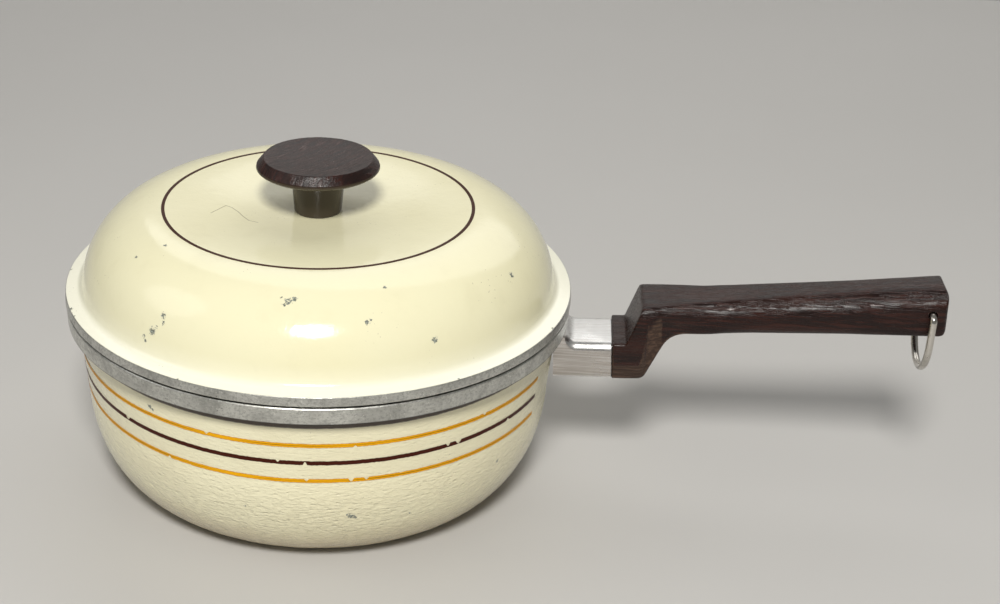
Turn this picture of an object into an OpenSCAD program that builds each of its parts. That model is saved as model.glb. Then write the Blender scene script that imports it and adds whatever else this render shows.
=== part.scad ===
// Covered saucepan: enamelled cast aluminium pan and domed lid, phenolic knob and long handle.
// Millimetres. +Z is up. The origin is the centre of the flat base, on the pan's axis.
// The handle runs along +X.

/* [Pan] */
// Outer radius of the bare rim band at its lower edge
rim_r = 121.1; // [115:0.1:135]
// Outer radius of the rim band at its top edge
rim_top_r = 121.4; // [114:0.1:134]
// Height of the pan from the table to the top of its rim
pan_h = 92.5; // [80:0.1:110]
// Height of the bare rim band
band_h = 8.1; // [5:0.1:12]
// Height of the turned groove under the rim band
groove_h = 1.9; // [1:0.1:4]
// Depth of that groove
groove_d = 1.2; // [0.5:0.1:2]
// Outer radius of the side wall just under the rim band
wall_top_r = 116.6; // [110:0.1:124]
// Outer radius of the side wall where the bowl curve starts
wall_low_r = 113.2; // [105:0.1:122]
// Height where the bowl curve starts
bowl_h = 50; // [30:0.5:70]
// Radius of the flat bottom before the bowl curve
bowl_foot_r = 83; // [60:0.5:100]
// Thickness of the cast side wall
wall_t = 3.3; // [2.5:0.1:5]
// Thickness of the cast base
base_t = 4.6; // [3:0.1:7]
// Thickness of the enamel coat
enamel_t = 0.4; // [0.2:0.05:0.8]
// Radius of the bare machined base pad
pad_r = 84; // [60:0.5:95]

/* [Lid] */
// Radius at which the cream coat stops on the flange
flange_r = 121; // [112:0.1:126]
// Height of that edge above the table
flange_z = 98; // [94:0.1:104]
// Radius of the lid's bare edge where it rests on the pan's rim
lid_edge_r = 121.7; // [112:0.1:127]
// Height of the dome's crest above the table
crest_z = 135.5; // [115:0.1:150]
// Radius of the crest
crest_r = 76; // [60:0.5:90]
// Depth of the shallow dish inside the crest
dish_d = 3.1; // [0:0.1:6]
// Thickness of the cast lid
lid_t = 3; // [2:0.1:5]
// Depth of the locating skirt below the rim
skirt_d = 3.5; // [2:0.1:8]
// Gap between the skirt and the inside of the pan's wall
skirt_gap = 0.6; // [0.3:0.1:2]

/* [Knob] */
// Widest radius of the knob's disc
knob_r = 29.35; // [20:0.05:35]
// Radius of the raised lip round the knob's dished top
knob_lip_r = 25.6; // [18:0.1:32]
// Height of the knob above its seat
knob_h = 27.4; // [20:0.1:40]
// Depth of the dish in the knob's top
knob_dish = 2.4; // [0:0.1:4]
// Radius of the stem where it meets the lid
stem_r = 10.9; // [8:0.1:15]
// Radius of the stem under the disc
stem_top_r = 12; // [8:0.1:16]

/* [Handle] */
// Upward tilt of the handle in degrees
handle_tilt = 2.5; // [0:0.5:10]
// Distance from the pan's axis to the start of the bracket
handle_x = 118; // [110:0.5:125]
// Height of the handle's screw line at the pan wall
handle_z = 68; // [50:0.5:80]
// Length of the bracket
bracket_l = 24.3; // [15:0.1:40]
// Width of the bracket
bracket_w = 31; // [22:0.5:40]
// Height that the bracket's foot reaches up the wall above the screw line
foot_h = 16.1; // [12:0.1:20]
// Width of the handle's neck block
neck_w = 33; // [24:0.5:42]
// Distance from the start of the bracket to the handle's end
grip_end = 174.4; // [150:0.1:200]
// Radius of the screw's thread
screw_r = 2.45; // [1.9:0.05:3]

/* [Ring] */
// Radius of the ring's wire
wire_r = 1.65; // [1:0.05:2.5]
// Half the width of the ring at its wire's centre line
ring_half = 16.6; // [14:0.1:22]
// Distance from the hole's axis to the wire's lowest centre point
ring_drop = 31.2; // [25:0.1:45]
// Radius of the cross hole in the handle
ring_hole_r = 2.1; // [1.5:0.05:3]

/* [Paint] */
// Radius of the thin ring painted round the crest of the lid
lid_line_r = 73.5; // [60:0.1:80]
// Width of that painted ring
lid_line_w = 1.5; // [0.5:0.1:3]
// Width of the two outer stripes
stripe_w = 2; // [1:0.1:4]
// Width of the middle stripe
stripe_mid_w = 2.1; // [1:0.1:4]
// Height of the upper stripe
stripe_upper_z = 70.7; // [66:0.1:76]
// Height of the middle stripe
stripe_middle_z = 61.5; // [57:0.1:66]
// Height of the lower stripe
stripe_lower_z = 51.9; // [50:0.1:56]
// Half the angle left clear of stripes at the handle
stripe_gap = 20; // [5:1:40]

/* [Hidden] */
eps = 0.02;
fine = 180;
soft = 64;
paint_t = 0.12;
fit_gap = 0.05;
band_z = pan_h - band_h;
seat_z = crest_z - dish_d;
skirt_r = wall_top_r - wall_t - skirt_gap;
seat_r = 14;
bowl_a = wall_low_r - bowl_foot_r;
grip_x = grip_end - 6.6;
grip_v = 27.3;
hole_x = handle_x + grip_x * cos(handle_tilt) - grip_v * sin(handle_tilt);
hole_z = handle_z + grip_x * sin(handle_tilt) + grip_v * cos(handle_tilt);

// Points along an ellipse from angle a0 to a1, in degrees
function oval(cx, cy, rx, ry, a0, a1, n) =
  [for (i = [0:n]) [cx + rx * cos(a0 + (a1 - a0) * i / n), cy + ry * sin(a0 + (a1 - a0) * i / n)]];

// Height of the lid's upper skin inside the crest: flat seat, then a smooth rise
function dish_z(r) =
  r < seat_r ? seat_z : seat_z + dish_d * (1 - cos(180 * (r - seat_r) / (crest_r - seat_r))) / 2;

// Points across the dished top, from the crest inwards, moved down by t
function dish_line(t, n) =
  [for (i = [0:n]) let (r = crest_r - (crest_r - seat_r) * i / n) [r, dish_z(r) - t]];

// The same points in the opposite order
function reverse(points) = [for (i = [len(points) - 1:-1:0]) points[i]];

// Radius of the pan's outer skin at height z on its straight upper wall
function wall_r(z) =
  wall_low_r + (wall_top_r - wall_low_r) * (z - bowl_h) / (band_z - bowl_h);

// ---------------------------------------------------------------- pan

// Outer half-outline of the pan below the rim band, drawn in by t
function pan_side(t, n) =
  concat(
    oval(bowl_foot_r, bowl_h, bowl_a - t, bowl_h - 0.3 - t, -90, 0, n),
    [[wall_top_r - t, band_z]]
  );

module pan_outer_solid(t) {
  rotate_extrude($fn = fine)
    polygon(concat([[0, 0.3 + t]], pan_side(t, 20), [[0, band_z]]));
}

module pan_inner_solid() {
  rotate_extrude($fn = fine)
    polygon(concat(
      [[0, base_t]],
      oval(bowl_foot_r, bowl_h, bowl_a - enamel_t - wall_t, bowl_h - base_t, -90, 0, 20),
      [
        [wall_top_r - enamel_t - wall_t + 0.3, band_z + 2],
        [wall_top_r - wall_t + 0.2, pan_h + 1],
        [0, pan_h + 1]
      ]
    ));
}

module rim_band() {
  rotate_extrude($fn = fine)
    polygon([
      [wall_top_r - enamel_t - wall_t + 1, band_z],
      [rim_r - 0.8, band_z],
      [rim_r, band_z + 0.8],
      [rim_top_r, pan_h - 0.7],
      [rim_top_r - 0.8, pan_h],
      [wall_top_r - wall_t + 1, pan_h]
    ]);
}

// Turned groove under the rim band, bare of enamel
module rim_groove() {
  rotate_extrude($fn = fine)
    translate([wall_top_r - groove_d, band_z - groove_h])
      square([groove_d + 2, groove_h]);
}

module boss_shape(grow) {
  at_handle()
    translate([-8, -12 - grow, -6.2 - grow])
      cube([27.5, 24 + 2 * grow, 12.4 + 2 * grow]);
}

module pan_body() {
  color("silver")
  difference() {
    union() {
      pan_outer_solid(enamel_t);
      rim_band();
      cylinder(h = 3, r = pad_r, $fn = fine);
      boss_shape(0);
    }
    pan_inner_solid();
    rim_groove();
    // blind threaded hole in the boss
    at_handle()
      translate([3, 0, 0])
        rotate([0, 90, 0])
          cylinder(h = 30, r = screw_r + fit_gap, $fn = soft);
  }
}

module pan_enamel() {
  color("wheat")
  difference() {
    rotate_extrude($fn = fine)
      difference() {
        polygon(concat([[0, 0.3]], pan_side(0, 20), [[0, band_z]]));
        polygon(concat([[-1, 0.3 + enamel_t]], pan_side(enamel_t, 20), [[-1, band_z]]));
        square([pad_r + 4, 6]);
        translate([0, band_z - groove_h])
          square([rim_r, groove_h + 1]);
      }
    boss_shape(0.15);
  }
}

module stripe(z_mid, w) {
  rotate([0, 0, stripe_gap])
    rotate_extrude(angle = 360 - 2 * stripe_gap, $fn = fine)
      polygon([
        [wall_r(z_mid - w / 2) + eps, z_mid - w / 2],
        [wall_r(z_mid - w / 2) + paint_t, z_mid - w / 2],
        [wall_r(z_mid + w / 2) + paint_t, z_mid + w / 2],
        [wall_r(z_mid + w / 2) + eps, z_mid + w / 2]
      ]);
}

module stripe_upper() {
  color("orange")
    stripe(stripe_upper_z, stripe_w);
}

module stripe_middle() {
  color("sienna")
    stripe(stripe_middle_z, stripe_mid_w);
}

module stripe_lower() {
  color("orange")
    stripe(stripe_lower_z, stripe_w);
}

// ---------------------------------------------------------------- lid

// Outer half-outline of the lid from the flange edge to the seat, moved in by t
function lid_top(t, n) =
  concat(
    [
      [flange_r, flange_z - t],
      [flange_r - 4.3, flange_z + 0.8 - t]
    ],
    oval(flange_r - 4.3, flange_z + 4.2, 3.2 + t, 3.4 + t, -105, -172, 5),
    oval(crest_r, 97, 37.5 - t, crest_z - 97 - t, 10, 90, n),
    dish_line(t, 12)
  );

module lid_body() {
  color("gainsboro")
  difference() {
    rotate_extrude($fn = fine)
      polygon(concat(
        [
          [skirt_r + 0.6, pan_h],
          [lid_edge_r - 0.9, pan_h],
          [lid_edge_r, pan_h + 0.8],
          [flange_r + 0.1, flange_z - 0.1]
        ],
        lid_top(enamel_t, 14),
        [
          [0, seat_z - enamel_t],
          [0, seat_z - enamel_t - lid_t]
        ],
        reverse(dish_line(enamel_t + lid_t, 12)),
        oval(crest_r, 97, 37.5 - enamel_t - lid_t, crest_z - 97 - enamel_t - lid_t, 84, 0, 12),
        [
          [skirt_r - 2.4, pan_h - skirt_d],
          [skirt_r - 0.6, pan_h - skirt_d],
          [skirt_r, pan_h - skirt_d + 0.8],
          [skirt_r, pan_h - 0.5]
        ]
      ));
    translate([0, 0, seat_z - 12])
      cylinder(h = 20, r = 2.3, $fn = soft);
  }
}

module lid_enamel() {
  color("cornsilk")
  difference() {
    rotate_extrude($fn = fine)
      difference() {
        polygon(concat([[0, seat_z - 20], [flange_r, flange_z - enamel_t]], lid_top(0, 14), [[0, seat_z]]));
        polygon(concat([[-1, seat_z - 30], [flange_r + 1, flange_z - 2]], [[flange_r + 1, flange_z - enamel_t]],
          lid_top(enamel_t, 14), [[-1, seat_z - enamel_t]]));
      }
    translate([0, 0, seat_z - 12])
      cylinder(h = 20, r = 2.3, $fn = soft);
  }
}

module lid_line() {
  color("saddlebrown")
  rotate_extrude($fn = fine)
    polygon([
      [lid_line_r - lid_line_w / 2, dish_z(lid_line_r - lid_line_w / 2) + eps],
      [lid_line_r + lid_line_w / 2, dish_z(lid_line_r + lid_line_w / 2) + eps],
      [lid_line_r + lid_line_w / 2, dish_z(lid_line_r + lid_line_w / 2) + paint_t],
      [lid_line_r - lid_line_w / 2, dish_z(lid_line_r - lid_line_w / 2) + paint_t]
    ]);
}

// ---------------------------------------------------------------- knob

module knob() {
  color("#2e1c17")
  translate([0, 0, seat_z])
  difference() {
    rotate_extrude($fn = fine)
      polygon(concat(
        [
          [0, 0],
          [stem_r - 0.9, 0],
          [stem_r, 0.9],
          [stem_top_r, knob_h - 12.2]
        ],
        oval(stem_top_r + 3.4, knob_h - 12, 3.4, 3, 180, 100, 5),
        [
          [21, knob_h - 8],
          [knob_r - 2, knob_h - 6.4]
        ],
        oval(knob_r - 1.4, knob_h - 5, 1.4, 1.4, -75, 40, 6),
        oval(knob_lip_r - 0.9, knob_h - 1.1, 1.3, 1.1, 40, 110, 4),
        [for (i = [1:8]) let (r = (knob_lip_r - 1.5) * (1 - i / 8))
          [r, knob_h - knob_dish * (1 - pow(r / knob_lip_r, 2))]]
      ));
    // pocket for the moulded-in insert
    translate([0, 0, -1])
      cylinder(h = 14, r = 4, $fn = soft);
  }
}

module knob_insert() {
  color("gold")
  translate([0, 0, seat_z + 0.3])
  difference() {
    cylinder(h = 12.6, r = 3.95, $fn = soft);
    translate([0, 0, -1])
      cylinder(h = 12.6, r = 2, $fn = soft);
  }
}

module knob_washer() {
  color("lightgray")
  translate([0, 0, seat_z - enamel_t - lid_t - 0.9])
  difference() {
    cylinder(h = 0.85, r = 5.5, $fn = soft);
    translate([0, 0, -1])
      cylinder(h = 3, r = 2.2, $fn = soft);
  }
}

module knob_screw() {
  color("gray")
  translate([0, 0, seat_z - enamel_t - lid_t - 0.95])
  difference() {
    union() {
      cylinder(h = 14.6, r = 1.95, $fn = soft);
      translate([0, 0, -1.2])
        cylinder(h = 1.2, r = 3.9, $fn = soft);
      translate([0, 0, -2.6])
        cylinder(h = 1.4, r1 = 2.6, r2 = 3.9, $fn = soft);
    }
    translate([-5, -0.5, -3])
      cube([10, 1, 1.6]);
  }
}

// ---------------------------------------------------------------- handle

module at_handle() {
  translate([handle_x, 0, handle_z])
    rotate([0, -handle_tilt, 0])
      children();
}

// Rectangle with rounded corners in the Y-Z plane, pushed along +X
module rounded_bar(x0, x1, w, z0, z1, r) {
  translate([x0, 0, 0])
    rotate([90, 0, 90])
      linear_extrude(height = x1 - x0)
        union() {
          translate([-w / 2 + r, z0])
            square([w - 2 * r, z1 - z0]);
          translate([-w / 2, z0 + r])
            square([w, z1 - z0 - 2 * r]);
          for (sx = [-1, 1])
            for (zc = [z0 + r, z1 - r])
              translate([sx * (w / 2 - r), zc])
                circle(r = r, $fn = soft);
        }
}

// Foot that sweeps up the pan wall to the rim band
module bracket_foot() {
  translate([0, bracket_w / 2, 0])
    rotate([90, 0, 0])
      linear_extrude(height = bracket_w)
        polygon(concat(
          [[-6, 0], [5, 0], [6.6, 9.1]],
          oval(8.2, foot_h, 6, foot_h - 9.1, -105, -180, 6),
          [[-6, foot_h]]
        ));
}

module handle_bracket() {
  color("lightsteelblue")
  difference() {
    at_handle()
    difference() {
      union() {
        rounded_bar(-6, bracket_l, bracket_w, -9.8, 9.3, 4.4);
        bracket_foot();
      }
      rounded_bar(-8, bracket_l - 3.6, 25, -6.9, 6.9, 1);
      rotate([0, 90, 0])
        cylinder(h = 60, r = 2.8, $fn = soft);
    }
    pan_outer_solid(-fit_gap);
  }
}

// Side outline of the handle: neck block, steep ramp, flaring grip
module handle_side() {
  polygon(concat(
    [[24.5, -10.4]],
    oval(36.9, -6.9, 3.5, 3.5, -90, -26, 5),
    oval(60, 1.9, 12, 12, 154, 92, 8),
    [[120, 15.4]],
    oval(grip_end - 3.6, 19.5, 3.6, 3.6, -90, -12, 6),
    oval(grip_end - 2.8, 35.7, 2.8, 2.8, 8, 88, 5),
    [[64, 29.4]],
    oval(41, 25.2, 3.1, 3.1, 92, 158, 4),
    [[30.8, 9.8], [24.5, 9.8]]
  ));
}

// Plan outline of the handle, one side at a time
module handle_plan() {
  polygon(concat(
    [[24.5, -neck_w / 2 + 0.8], [25.3, -neck_w / 2], [40, -neck_w / 2], [52, -15.6], [66, -14.4], [90, -13.8],
      [130, -13.8]],
    oval(grip_end - 2.5, -11.6, 2.5, 2.5, -90, -10, 5),
    oval(grip_end - 2.5, 11.6, 2.5, 2.5, 10, 90, 5),
    [[130, 13.8], [90, 13.8], [66, 14.4], [52, 15.6], [40, neck_w / 2], [25.3, neck_w / 2],
      [24.5, neck_w / 2 - 0.8]]
  ));
}

// Round body that shapes the shoulders of the grip above its long axis
module upper_round() {
  translate([82, 0, 18])
    rotate([0, -3.15, 0])
      union() {
        rotate([0, 90, 0])
          rotate_extrude($fn = 96)
            polygon([[0, -70], [26, -70], [24, -48], [18.9, -44], [17.2, -30], [15.5, -15], [15.4, 0],
              [15.4, 30], [15.6, 52], [16.2, 75], [16.8, 96], [0, 96]]);
        translate([-80, -25, -60])
          cube([180, 50, 60]);
      }
}

// Round body that shapes the grip's lower edges
module lower_round() {
  translate([82, 0, 26.6])
    rotate([0, -1.2, 0])
      union() {
        rotate([0, 90, 0])
          rotate_extrude($fn = 96)
            polygon([[0, -70], [60, -70], [46, -44], [30, -34], [22, -26], [18.5, -18], [16.8, -6],
              [16.3, 6], [16.6, 48], [18.5, 96], [0, 96]]);
        translate([-80, -25, 0])
          cube([180, 50, 60]);
      }
}

module handle() {
  color("#2a1a16")
  at_handle()
  difference() {
    intersection() {
      translate([0, 25, 0])
        rotate([90, 0, 0])
          linear_extrude(height = 50)
            handle_side();
      translate([0, 0, -20])
        linear_extrude(height = 80)
          handle_plan();
      upper_round();
      lower_round();
    }
    // screw bore and its counterbore in the sloping underside
    translate([20, 0, 0])
      rotate([0, 90, 0])
        cylinder(h = 30, r = 2.8, $fn = soft);
    translate([34.5, 0, 0])
      rotate([0, 90, 0])
        cylinder(h = 18, r = 5.2, $fn = soft);
    // cross hole for the hanging ring
    translate([grip_x, -30, grip_v])
      rotate([-90, 0, 0])
        cylinder(h = 60, r = ring_hole_r, $fn = soft);
  }
}

module handle_washer() {
  color("lightgray")
  at_handle()
    translate([34.55, 0, 0])
      rotate([0, 90, 0])
        difference() {
          cylinder(h = 1.2, r = 4.6, $fn = soft);
          translate([0, 0, -1])
            cylinder(h = 4, r = 2.7, $fn = soft);
          // the split of a spring washer
          translate([0, -0.3, -1])
            cube([6, 0.6, 4]);
        }
}

module handle_screw() {
  color("gray")
  at_handle()
    difference() {
      union() {
        translate([5, 0, 0])
          rotate([0, 90, 0])
            cylinder(h = 31, r = screw_r, $fn = soft);
        translate([35.8, 0, 0])
          rotate([0, 90, 0])
            cylinder(h = 2.2, r = 4.4, $fn = soft);
        translate([38, 0, 0])
          rotate([0, 90, 0])
            cylinder(h = 1.3, r1 = 4.4, r2 = 3.2, $fn = soft);
      }
      translate([37.6, -5, -0.6])
        cube([3, 10, 1.2]);
    }
}

// ---------------------------------------------------------------- hanging ring

// Quarter bend of wire, centre line radius r
module wire_bend(r, a0, a1) {
  rotate([90, 0, 90])
    rotate([0, 0, a0])
      rotate_extrude(angle = a1 - a0, $fn = soft)
        translate([r, 0])
          circle(r = wire_r, $fn = 32);
}

module hanging_ring() {
  color("white")
  translate([hole_x, 0, hole_z])
    union() {
      translate([0, -ring_half + 3, 0])
        rotate([-90, 0, 0])
          cylinder(h = 2 * ring_half - 6, r = wire_r, $fn = 32);
      translate([0, ring_half - 3, -3])
        wire_bend(3, 0, 90);
      translate([0, -ring_half + 3, -3])
        wire_bend(3, 90, 180);
      for (sy = [-1, 1])
        translate([0, sy * ring_half, -ring_drop + ring_half])
          cylinder(h = ring_drop - ring_half - 3, r = wire_r, $fn = 32);
      translate([0, 0, -ring_drop + ring_half])
        wire_bend(ring_half, 180, 360);
    }
}

// Which node to draw

pan_body();
pan_enamel();
stripe_upper();
stripe_middle();
stripe_lower();
handle_bracket();
handle();
handle_washer();
handle_screw();
hanging_ring();
lid_body();
lid_enamel();
lid_line();
knob();
knob_insert();
knob_washer();
knob_screw();
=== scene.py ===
"""Covered saucepan: the looks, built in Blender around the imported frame."""

import math
from itertools import product

import bmesh
import bpy
import numpy as np
from mathutils import Matrix, Vector


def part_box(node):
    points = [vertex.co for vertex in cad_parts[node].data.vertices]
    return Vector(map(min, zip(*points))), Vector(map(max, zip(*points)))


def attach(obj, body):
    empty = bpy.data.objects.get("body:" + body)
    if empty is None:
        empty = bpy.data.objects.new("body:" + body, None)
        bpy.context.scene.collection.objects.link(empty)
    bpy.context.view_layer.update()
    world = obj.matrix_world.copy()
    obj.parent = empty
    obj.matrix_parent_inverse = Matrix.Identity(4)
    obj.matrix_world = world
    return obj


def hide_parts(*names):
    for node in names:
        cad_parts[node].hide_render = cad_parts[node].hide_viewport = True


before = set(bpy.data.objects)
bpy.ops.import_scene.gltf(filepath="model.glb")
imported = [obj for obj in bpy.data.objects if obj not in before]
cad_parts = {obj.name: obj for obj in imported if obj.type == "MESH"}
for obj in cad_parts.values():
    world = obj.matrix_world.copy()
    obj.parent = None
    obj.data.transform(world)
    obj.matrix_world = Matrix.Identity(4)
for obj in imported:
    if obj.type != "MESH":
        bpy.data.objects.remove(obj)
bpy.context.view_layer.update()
MM = 0.001

# ---------------- places from the frame, in millimetres


def node_box(node):
    """Lowest and highest corner of a CAD node, in millimetres."""
    low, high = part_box(node)
    return low / MM, high / MM


PAN_LOW, PAN_HIGH = node_box("pan_body")
COAT_LOW, COAT_HIGH = node_box("pan_enamel")
LID_LOW, LID_HIGH = node_box("lid_enamel")
KNOB_LOW, KNOB_HIGH = node_box("knob")
RING_LOW, RING_HIGH = node_box("hanging_ring")
_, LINE_HIGH = node_box("lid_line")
_, BRACKET_HIGH = node_box("handle_bracket")
BODY_LOW, _ = node_box("lid_body")

RIM_TOP_R = -PAN_LOW.x
RIM_R = RIM_TOP_R - 0.3
EDGE_R = -BODY_LOW.x
PAN_H = PAN_HIGH.z
BAND_Z = PAN_H - 8.1
GROOVE_Z = COAT_HIGH.z
WALL_TOP_R = -COAT_LOW.x
FLANGE_R = -LID_LOW.x
CREST_Z = LID_HIGH.z
SEAT_Z = KNOB_LOW.z
KNOB_R = -KNOB_LOW.x
KNOB_H = KNOB_HIGH.z - KNOB_LOW.z
KNOB_GRAIN_TURN = -55
LINE_R = LINE_HIGH.x

# The lid's flange and dome, measured from its edge and crest
FLANGE_Z = CREST_Z - 37.5
CREST_R = 76.0
DOME_RUN = 37.5
DOME_FOOT_Z = 97.0
SEAT_R = 14.0
LID_BORE_R = 2.3
LID_CAST_T = 3.0
DISH_D = CREST_Z - SEAT_Z

# The bowl
FOOT_R = 83.0
FOOT_Z = 0.3
BOWL_Z = 50.0
WALL_LEAN = 3.4
WALL_LOW_R = WALL_TOP_R - WALL_LEAN
COAT_T = 0.4
WALL_T = 3.3
FLOOR_Z = 4.6
SKIRT_R = WALL_TOP_R - WALL_T - 0.6

# The handle has its own axes: u along it from the pan wall, v up from its screw line
HANDLE_TILT = math.radians(2.5)
HANDLE_X = 118.0
HANDLE_Z = 68.0
RING_HOLE = (167.8, 27.3)


def handle_matrix():
    """From the handle's own axes, in millimetres, to the frame, in metres."""
    place = Matrix.Translation(Vector((HANDLE_X, 0, HANDLE_Z)) * MM)
    return place @ Matrix.Rotation(-HANDLE_TILT, 4, "Y") @ Matrix.Scale(MM, 4)


def from_handle(points):
    """Points moved from the handle's own axes to the frame."""
    place = handle_matrix()
    return [place @ Vector(p) for p in points]


# ---------------- outlines


def arc(cx, cz, rx, rz, start, end, steps):
    """Points along an ellipse from one angle to another, in degrees."""
    angles = np.radians(np.linspace(start, end, steps + 1))
    return [(cx + rx * math.cos(a), cz + rz * math.sin(a)) for a in angles]


def fillet(points, radii, steps=5, closed=False):
    """The same outline with each corner rounded to its radius."""
    out = []
    count = len(points)
    for i, (point, radius) in enumerate(zip(points, radii)):
        p = np.array(point, float)
        if radius <= 0 or (not closed and i in (0, count - 1)):
            out.append(tuple(p))
            continue
        before = np.array(points[i - 1], float) - p
        after = np.array(points[(i + 1) % count], float) - p
        room = min(np.linalg.norm(before), np.linalg.norm(after)) * 0.48
        before /= np.linalg.norm(before)
        after /= np.linalg.norm(after)
        half = math.acos(max(-1.0, min(1.0, before @ after))) / 2
        if half > math.radians(88):
            out.append(tuple(p))
            continue
        reach = min(radius / math.tan(half), room)
        a, b = p + before * reach, p + after * reach
        for k in range(steps + 1):
            t = k / steps
            out.append(tuple((1 - t) ** 2 * a + 2 * t * (1 - t) * p + t ** 2 * b))
    return out


def spaced(points, step, closed=False):
    """The outline with extra points, so that no stretch is longer than step."""
    out = []
    pairs = list(zip(points, points[1:] + (points[:1] if closed else [])))
    for a, b in pairs:
        length = math.dist(a, b)
        parts = max(1, math.ceil(length / step))
        out += [(a[0] + (b[0] - a[0]) * k / parts, a[1] + (b[1] - a[1]) * k / parts) for k in range(parts)]
    return out if closed else out + [points[-1]]


# ---------------- smooth noise on points


def lattice(cells, seed):
    """A fixed random number from 0 to 1 for each whole-number cell."""
    c = cells.astype(np.int64)
    h = c[..., 0] * 374761393 + c[..., 1] * 668265263 + c[..., 2] * 2147483647 + seed * 1274126177
    h = (h ^ (h >> 13)) * 1274126177
    h = (h ^ (h >> 16)) & 0xFFFFFF
    return h / float(0xFFFFFF)


def noise(points, size, seed=0):
    """Smooth noise from -1 to 1 with blobs of about the given size."""
    p = points / size
    base = np.floor(p)
    f = p - base
    f = f * f * (3 - 2 * f)
    total = np.zeros(len(p))
    for corner in product((0, 1), repeat=3):
        weight = 1.0
        for axis, far in enumerate(corner):
            weight = weight * (f[:, axis] if far else 1 - f[:, axis])
        total += weight * lattice(base + np.array(corner), seed)
    return total * 2 - 1


def fractal(points, size, octaves=3, seed=0):
    """Noise summed over halving sizes."""
    total = np.zeros(len(points))
    weight, share = 1.0, 0.0
    for k in range(octaves):
        total += weight * noise(points, size / 2 ** k, seed + k * 17)
        share += weight
        weight *= 0.5
    return total / share


def pits(points, cell, chance, seed):
    """Depth from 0 to 1 of small round pits, scattered one to a cell at most."""
    p = points / cell
    base = np.floor(p)
    depth = np.zeros(len(p))
    for step in product((-1, 0, 1), repeat=3):
        here = base + np.array(step)
        spot = np.stack([lattice(here, seed + k) for k in range(3)], -1)
        away = np.linalg.norm(here + spot - p, axis=1)
        size = 0.18 + 0.28 * lattice(here, seed + 5)
        there = lattice(here, seed + 7) < chance
        depth = np.maximum(depth, np.where(there, np.clip(1 - away / size, 0, 1), 0))
    return depth * depth * (3 - 2 * depth)


# ---------------- meshes


def new_object(name, data):
    """An object in the scene."""
    obj = bpy.data.objects.new(name, data)
    bpy.context.scene.collection.objects.link(obj)
    return obj


def finish_mesh(name, verts, faces, body, nodes=(), material=None, sharp=40):
    """Makes an object from points in metres, shades it smooth and ties it to its body."""
    mesh = bpy.data.meshes.new(name)
    mesh.from_pydata([tuple(v) for v in verts], [], faces)
    mesh.validate()
    built = bmesh.new()
    built.from_mesh(mesh)
    bmesh.ops.remove_doubles(built, verts=built.verts, dist=1e-7)
    bmesh.ops.recalc_face_normals(built, faces=built.faces)
    built.to_mesh(mesh)
    built.free()
    mesh.shade_smooth()
    mesh.set_sharp_from_angle(angle=math.radians(sharp))
    obj = new_object(name, mesh)
    if material:
        mesh.materials.append(material)
    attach(obj, body)
    if nodes:
        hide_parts(*nodes)
    return obj


def quads(rings, count, closed):
    """Faces between neighbouring rings of count points each."""
    faces = []
    for i in range(rings if closed else rings - 1):
        j = (i + 1) % rings
        for k in range(count):
            m = (k + 1) % count
            faces.append((i * count + k, i * count + m, j * count + m, j * count + k))
    return faces


def placed(radius, angle, height):
    """Points from grids of radius, angle and height."""
    return np.stack([radius * np.cos(angle), radius * np.sin(angle), height], -1).reshape(-1, 3)


def turned(outline, steps, start=0.0, end=360.0, relief=None):
    """Points and faces of a closed outline of (radius, height) turned about Z.
    relief(points) returns how far each point moves along its outline's normal."""
    ring = np.array(outline, float)
    full = abs(end - start) >= 359.99
    turns = steps if full else steps + 1
    angles = np.radians(start + (end - start) * np.arange(turns) / steps)
    after = np.roll(ring, -1, 0) - np.roll(ring, 1, 0)
    normal = np.stack([after[:, 1], -after[:, 0]], 1)
    normal /= np.maximum(np.linalg.norm(normal, axis=1, keepdims=True), 1e-9)
    area = np.sum(ring[:, 0] * np.roll(ring[:, 1], -1) - np.roll(ring[:, 0], -1) * ring[:, 1])
    if area < 0:
        normal = -normal
    r = np.repeat(ring[None, :, 0], turns, 0)
    z = np.repeat(ring[None, :, 1], turns, 0)
    a = np.repeat(angles[:, None], len(ring), 1)
    points = placed(r, a, z)
    if relief is not None:
        push = relief(points).reshape(turns, len(ring)) * (ring[None, :, 0] > 0.5)
        points = placed(r + normal[None, :, 0] * push, a, z + normal[None, :, 1] * push)
    count = len(ring)
    faces = [q for q in quads(turns, count, full) if any(ring[v % count][0] >= 1e-6 for v in q)]
    if not full:
        faces.append(tuple(range(count)))
        faces.append(tuple(reversed(range((turns - 1) * count, turns * count))))
    return points * MM, faces


def lathe(name, outline, steps, body, nodes=(), slot=None, material=None, sharp=40, **how):
    """An object turned from an outline."""
    points, faces = turned(outline, steps, **how)
    return finish_mesh(name, points, faces, body, nodes, material, sharp)


def skinned(rings, closed=False):
    """Points and faces of a tube through rings of equal point counts, capped unless it closes on itself."""
    count = len(rings[0])
    points = [p for ring in rings for p in ring]
    faces = quads(len(rings), count, closed)
    if not closed:
        last = (len(rings) - 1) * count
        faces.append(tuple(reversed(range(count))))
        faces.append(tuple(range(last, last + count)))
    return points, faces


# ---------------- materials


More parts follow.
